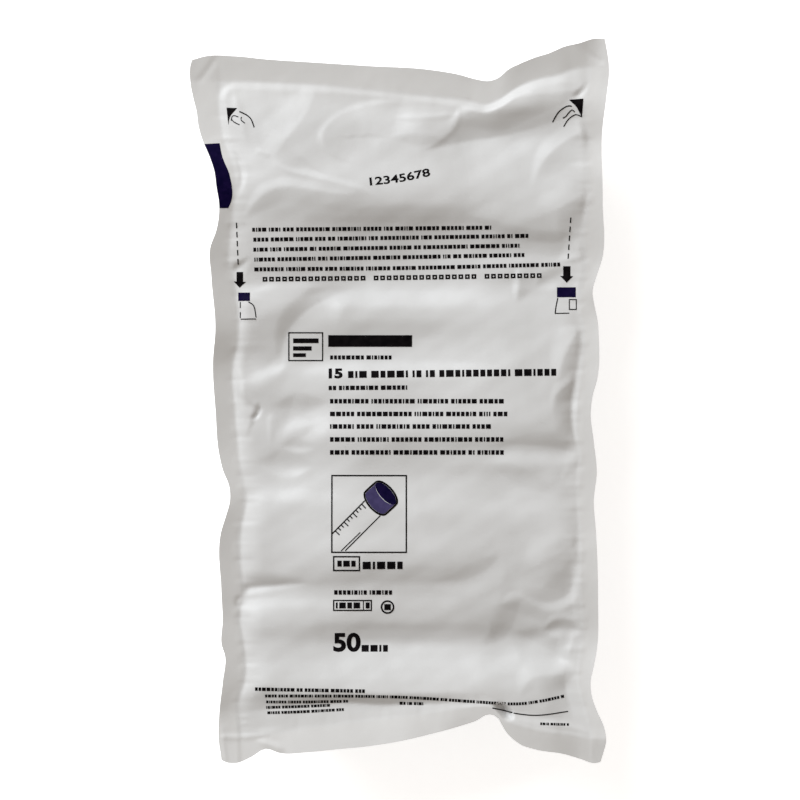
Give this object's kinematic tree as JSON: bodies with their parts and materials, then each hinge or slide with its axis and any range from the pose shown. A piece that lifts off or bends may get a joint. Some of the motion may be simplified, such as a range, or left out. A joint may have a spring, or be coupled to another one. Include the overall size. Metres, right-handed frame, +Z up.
{
  "type": "sealed pack of conical tubes",
  "caption": "Sealed peel-open pouch of white film, heat-welded round all four sides, holding layers of conical lab tubes that lie across it.",
  "frame": {"origin": "the middle of the pack's outline, on the surface that its back web rests on", "axes": "+X across the pack, to the right of someone reading the print; +Y along the pack towards the end that peels open; +Z up, out of the printed face"},
  "size_m": [0.1806, 0.3124, 0.0516],
  "materials": {
    "white_film": "satin",
    "print_black": "matte",
    "print_navy": "matte",
    "print_violet": "matte"
  },
  "bodies": {
    "root": {"sealed_pack": "white_film"}
  },
  "joints": []
}
